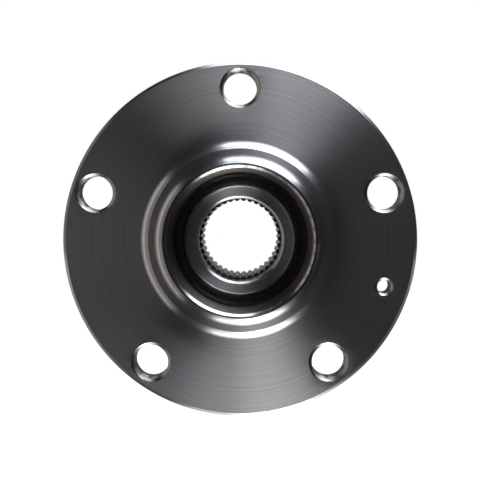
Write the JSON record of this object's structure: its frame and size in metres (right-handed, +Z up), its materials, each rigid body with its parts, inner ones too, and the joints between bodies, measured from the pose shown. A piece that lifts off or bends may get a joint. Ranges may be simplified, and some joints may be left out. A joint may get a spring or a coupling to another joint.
{
  "type": "wheel hub",
  "caption": "Driven wheel hub with a turned bolt flange, two stepped pilots and a splined bore, running in its sealed double-row ball bearing.",
  "frame": {"origin": "on the hub's axis, in the flange face that the brake disc rests on", "axes": "-Y along the axle towards the wheel, +Y inboard towards the vehicle, +Z up with one wheel bolt hole at the top"},
  "size_m": [0.131, 0.066, 0.131],
  "materials": {
    "turned_steel": "bare steel turned to fine concentric marks",
    "ring_steel": "ground bearing steel",
    "spring_steel": "rolled spring steel strip",
    "pressed_steel": "pressed sheet steel",
    "stainless_sheet": "pressed stainless sheet",
    "ball_steel": "polished ball steel",
    "cage_polyamide": "moulded glass-filled polyamide",
    "seal_rubber": "moulded nitrile rubber",
    "magnet_rubber": "magnetised rubber, dull"
  },
  "bodies": {
    "bearing_outer": {"outer_ring": "ring_steel", "outboard_seal_case": "pressed_steel", "outboard_seal_lip": "seal_rubber", "inboard_seal_case": "pressed_steel", "inboard_seal_lip": "seal_rubber"},
    "hub_rotor": {"hub": "turned_steel", "outboard_inner_ring": "ring_steel", "inboard_inner_ring": "ring_steel", "inner_ring_clip": "spring_steel", "outboard_slinger": "stainless_sheet", "inboard_slinger": "stainless_sheet", "encoder_ring": "magnet_rubber"},
    "outboard_cage_ring": {"outboard_cage": "cage_polyamide"},
    "inboard_cage_ring": {"inboard_cage": "cage_polyamide"},
    "outboard_ball_01": {"outboard_ball_01": "ball_steel"},
    "outboard_ball_02": {"outboard_ball_02": "ball_steel"},
    "outboard_ball_03": {"outboard_ball_03": "ball_steel"},
    "outboard_ball_04": {"outboard_ball_04": "ball_steel"},
    "outboard_ball_05": {"outboard_ball_05": "ball_steel"},
    "outboard_ball_06": {"outboard_ball_06": "ball_steel"},
    "outboard_ball_07": {"outboard_ball_07": "ball_steel"},
    "outboard_ball_08": {"outboard_ball_08": "ball_steel"},
    "outboard_ball_09": {"outboard_ball_09": "ball_steel"},
    "outboard_ball_10": {"outboard_ball_10": "ball_steel"},
    "outboard_ball_11": {"outboard_ball_11": "ball_steel"},
    "outboard_ball_12": {"outboard_ball_12": "ball_steel"},
    "outboard_ball_13": {"outboard_ball_13": "ball_steel"},
    "outboard_ball_14": {"outboard_ball_14": "ball_steel"},
    "inboard_ball_01": {"inboard_ball_01": "ball_steel"},
    "inboard_ball_02": {"inboard_ball_02": "ball_steel"},
    "inboard_ball_03": {"inboard_ball_03": "ball_steel"},
    "inboard_ball_04": {"inboard_ball_04": "ball_steel"},
    "inboard_ball_05": {"inboard_ball_05": "ball_steel"},
    "inboard_ball_06": {"inboard_ball_06": "ball_steel"},
    "inboard_ball_07": {"inboard_ball_07": "ball_steel"},
    "inboard_ball_08": {"inboard_ball_08": "ball_steel"},
    "inboard_ball_09": {"inboard_ball_09": "ball_steel"},
    "inboard_ball_10": {"inboard_ball_10": "ball_steel"},
    "inboard_ball_11": {"inboard_ball_11": "ball_steel"},
    "inboard_ball_12": {"inboard_ball_12": "ball_steel"},
    "inboard_ball_13": {"inboard_ball_13": "ball_steel"},
    "inboard_ball_14": {"inboard_ball_14": "ball_steel"}
  },
  "joints": [
    {"name": "hub_spin", "type": "hinge", "parent": "bearing_outer", "child": "hub_rotor", "pos_m": [0, 0.0375, 0], "axis": [0, -1, 0], "continuous": true},
    {"name": "outboard_cage_spin", "type": "hinge", "parent": "bearing_outer", "child": "outboard_cage_ring", "pos_m": [0, 0.0295, 0], "axis": [0, -1, 0], "continuous": true},
    {"name": "outboard_ball_01_roll", "type": "hinge", "parent": "outboard_cage_ring", "child": "outboard_ball_01", "pos_m": [0, 0.0295, 0.03125], "axis": [0, -0.8192, 0.5736], "continuous": true},
    {"name": "outboard_ball_02_roll", "type": "hinge", "parent": "outboard_cage_ring", "child": "outboard_ball_02", "pos_m": [-0.01356, 0.0295, 0.02816], "axis": [-0.2489, -0.8192, 0.5168], "continuous": true},
    {"name": "outboard_ball_03_roll", "type": "hinge", "parent": "outboard_cage_ring", "child": "outboard_ball_03", "pos_m": [-0.02443, 0.0295, 0.01948], "axis": [-0.4484, -0.8192, 0.3576], "continuous": true},
    {"name": "outboard_ball_04_roll", "type": "hinge", "parent": "outboard_cage_ring", "child": "outboard_ball_04", "pos_m": [-0.03047, 0.0295, 0.00695], "axis": [-0.5592, -0.8192, 0.1276], "continuous": true},
    {"name": "outboard_ball_05_roll", "type": "hinge", "parent": "outboard_cage_ring", "child": "outboard_ball_05", "pos_m": [-0.03047, 0.0295, -0.00695], "axis": [-0.5592, -0.8192, -0.1276], "continuous": true},
    {"name": "outboard_ball_06_roll", "type": "hinge", "parent": "outboard_cage_ring", "child": "outboard_ball_06", "pos_m": [-0.02443, 0.0295, -0.01948], "axis": [-0.4484, -0.8192, -0.3576], "continuous": true},
    {"name": "outboard_ball_07_roll", "type": "hinge", "parent": "outboard_cage_ring", "child": "outboard_ball_07", "pos_m": [-0.01356, 0.0295, -0.02816], "axis": [-0.2489, -0.8192, -0.5168], "continuous": true},
    {"name": "outboard_ball_08_roll", "type": "hinge", "parent": "outboard_cage_ring", "child": "outboard_ball_08", "pos_m": [0, 0.0295, -0.03125], "axis": [0, -0.8192, -0.5736], "continuous": true},
    {"name": "outboard_ball_09_roll", "type": "hinge", "parent": "outboard_cage_ring", "child": "outboard_ball_09", "pos_m": [0.01356, 0.0295, -0.02816], "axis": [0.2489, -0.8192, -0.5168], "continuous": true},
    {"name": "outboard_ball_10_roll", "type": "hinge", "parent": "outboard_cage_ring", "child": "outboard_ball_10", "pos_m": [0.02443, 0.0295, -0.01948], "axis": [0.4484, -0.8192, -0.3576], "continuous": true},
    {"name": "outboard_ball_11_roll", "type": "hinge", "parent": "outboard_cage_ring", "child": "outboard_ball_11", "pos_m": [0.03047, 0.0295, -0.00695], "axis": [0.5592, -0.8192, -0.1276], "continuous": true},
    {"name": "outboard_ball_12_roll", "type": "hinge", "parent": "outboard_cage_ring", "child": "outboard_ball_12", "pos_m": [0.03047, 0.0295, 0.00695], "axis": [0.5592, -0.8192, 0.1276], "continuous": true},
    {"name": "outboard_ball_13_roll", "type": "hinge", "parent": "outboard_cage_ring", "child": "outboard_ball_13", "pos_m": [0.02443, 0.0295, 0.01948], "axis": [0.4484, -0.8192, 0.3576], "continuous": true},
    {"name": "outboard_ball_14_roll", "type": "hinge", "parent": "outboard_cage_ring", "child": "outboard_ball_14", "pos_m": [0.01356, 0.0295, 0.02816], "axis": [0.2489, -0.8192, 0.5168], "continuous": true},
    {"name": "inboard_cage_spin", "type": "hinge", "parent": "bearing_outer", "child": "inboard_cage_ring", "pos_m": [0, 0.0455, 0], "axis": [0, -1, 0], "continuous": true},
    {"name": "inboard_ball_01_roll", "type": "hinge", "parent": "inboard_cage_ring", "child": "inboard_ball_01", "pos_m": [0, 0.0455, 0.03125], "axis": [0, -0.8192, -0.5736], "continuous": true},
    {"name": "inboard_ball_02_roll", "type": "hinge", "parent": "inboard_cage_ring", "child": "inboard_ball_02", "pos_m": [-0.01356, 0.0455, 0.02816], "axis": [0.2489, -0.8192, -0.5168], "continuous": true},
    {"name": "inboard_ball_03_roll", "type": "hinge", "parent": "inboard_cage_ring", "child": "inboard_ball_03", "pos_m": [-0.02443, 0.0455, 0.01948], "axis": [0.4484, -0.8192, -0.3576], "continuous": true},
    {"name": "inboard_ball_04_roll", "type": "hinge", "parent": "inboard_cage_ring", "child": "inboard_ball_04", "pos_m": [-0.03047, 0.0455, 0.00695], "axis": [0.5592, -0.8192, -0.1276], "continuous": true},
    {"name": "inboard_ball_05_roll", "type": "hinge", "parent": "inboard_cage_ring", "child": "inboard_ball_05", "pos_m": [-0.03047, 0.0455, -0.00695], "axis": [0.5592, -0.8192, 0.1276], "continuous": true},
    {"name": "inboard_ball_06_roll", "type": "hinge", "parent": "inboard_cage_ring", "child": "inboard_ball_06", "pos_m": [-0.02443, 0.0455, -0.01948], "axis": [0.4484, -0.8192, 0.3576], "continuous": true},
    {"name": "inboard_ball_07_roll", "type": "hinge", "parent": "inboard_cage_ring", "child": "inboard_ball_07", "pos_m": [-0.01356, 0.0455, -0.02816], "axis": [0.2489, -0.8192, 0.5168], "continuous": true},
    {"name": "inboard_ball_08_roll", "type": "hinge", "parent": "inboard_cage_ring", "child": "inboard_ball_08", "pos_m": [0, 0.0455, -0.03125], "axis": [0, -0.8192, 0.5736], "continuous": true},
    {"name": "inboard_ball_09_roll", "type": "hinge", "parent": "inboard_cage_ring", "child": "inboard_ball_09", "pos_m": [0.01356, 0.0455, -0.02816], "axis": [-0.2489, -0.8192, 0.5168], "continuous": true},
    {"name": "inboard_ball_10_roll", "type": "hinge", "parent": "inboard_cage_ring", "child": "inboard_ball_10", "pos_m": [0.02443, 0.0455, -0.01948], "axis": [-0.4484, -0.8192, 0.3576], "continuous": true},
    {"name": "inboard_ball_11_roll", "type": "hinge", "parent": "inboard_cage_ring", "child": "inboard_ball_11", "pos_m": [0.03047, 0.0455, -0.00695], "axis": [-0.5592, -0.8192, 0.1276], "continuous": true},
    {"name": "inboard_ball_12_roll", "type": "hinge", "parent": "inboard_cage_ring", "child": "inboard_ball_12", "pos_m": [0.03047, 0.0455, 0.00695], "axis": [-0.5592, -0.8192, -0.1276], "continuous": true},
    {"name": "inboard_ball_13_roll", "type": "hinge", "parent": "inboard_cage_ring", "child": "inboard_ball_13", "pos_m": [0.02443, 0.0455, 0.01948], "axis": [-0.4484, -0.8192, -0.3576], "continuous": true},
    {"name": "inboard_ball_14_roll", "type": "hinge", "parent": "inboard_cage_ring", "child": "inboard_ball_14", "pos_m": [0.01356, 0.0455, 0.02816], "axis": [-0.2489, -0.8192, -0.5168], "continuous": true}
  ],
  "couplings": [
    {"joint": "outboard_cage_spin", "follows": "hub_spin", "ratio": 0.42136},
    {"joint": "outboard_ball_01_roll", "follows": "hub_spin", "ratio": -2.5398},
    {"joint": "outboard_ball_02_roll", "follows": "hub_spin", "ratio": -2.5398},
    {"joint": "outboard_ball_03_roll", "follows": "hub_spin", "ratio": -2.5398},
    {"joint": "outboard_ball_04_roll", "follows": "hub_spin", "ratio": -2.5398},
    {"joint": "outboard_ball_05_roll", "follows": "hub_spin", "ratio": -2.5398},
    {"joint": "outboard_ball_06_roll", "follows": "hub_spin", "ratio": -2.5398},
    {"joint": "outboard_ball_07_roll", "follows": "hub_spin", "ratio": -2.5398},
    {"joint": "outboard_ball_08_roll", "follows": "hub_spin", "ratio": -2.5398},
    {"joint": "outboard_ball_09_roll", "follows": "hub_spin", "ratio": -2.5398},
    {"joint": "outboard_ball_10_roll", "follows": "hub_spin", "ratio": -2.5398},
    {"joint": "outboard_ball_11_roll", "follows": "hub_spin", "ratio": -2.5398},
    {"joint": "outboard_ball_12_roll", "follows": "hub_spin", "ratio": -2.5398},
    {"joint": "outboard_ball_13_roll", "follows": "hub_spin", "ratio": -2.5398},
    {"joint": "outboard_ball_14_roll", "follows": "hub_spin", "ratio": -2.5398},
    {"joint": "inboard_cage_spin", "follows": "hub_spin", "ratio": 0.42136},
    {"joint": "inboard_ball_01_roll", "follows": "hub_spin", "ratio": -2.5398},
    {"joint": "inboard_ball_02_roll", "follows": "hub_spin", "ratio": -2.5398},
    {"joint": "inboard_ball_03_roll", "follows": "hub_spin", "ratio": -2.5398},
    {"joint": "inboard_ball_04_roll", "follows": "hub_spin", "ratio": -2.5398},
    {"joint": "inboard_ball_05_roll", "follows": "hub_spin", "ratio": -2.5398},
    {"joint": "inboard_ball_06_roll", "follows": "hub_spin", "ratio": -2.5398},
    {"joint": "inboard_ball_07_roll", "follows": "hub_spin", "ratio": -2.5398},
    {"joint": "inboard_ball_08_roll", "follows": "hub_spin", "ratio": -2.5398},
    {"joint": "inboard_ball_09_roll", "follows": "hub_spin", "ratio": -2.5398},
    {"joint": "inboard_ball_10_roll", "follows": "hub_spin", "ratio": -2.5398},
    {"joint": "inboard_ball_11_roll", "follows": "hub_spin", "ratio": -2.5398},
    {"joint": "inboard_ball_12_roll", "follows": "hub_spin", "ratio": -2.5398},
    {"joint": "inboard_ball_13_roll", "follows": "hub_spin", "ratio": -2.5398},
    {"joint": "inboard_ball_14_roll", "follows": "hub_spin", "ratio": -2.5398}
  ]
}
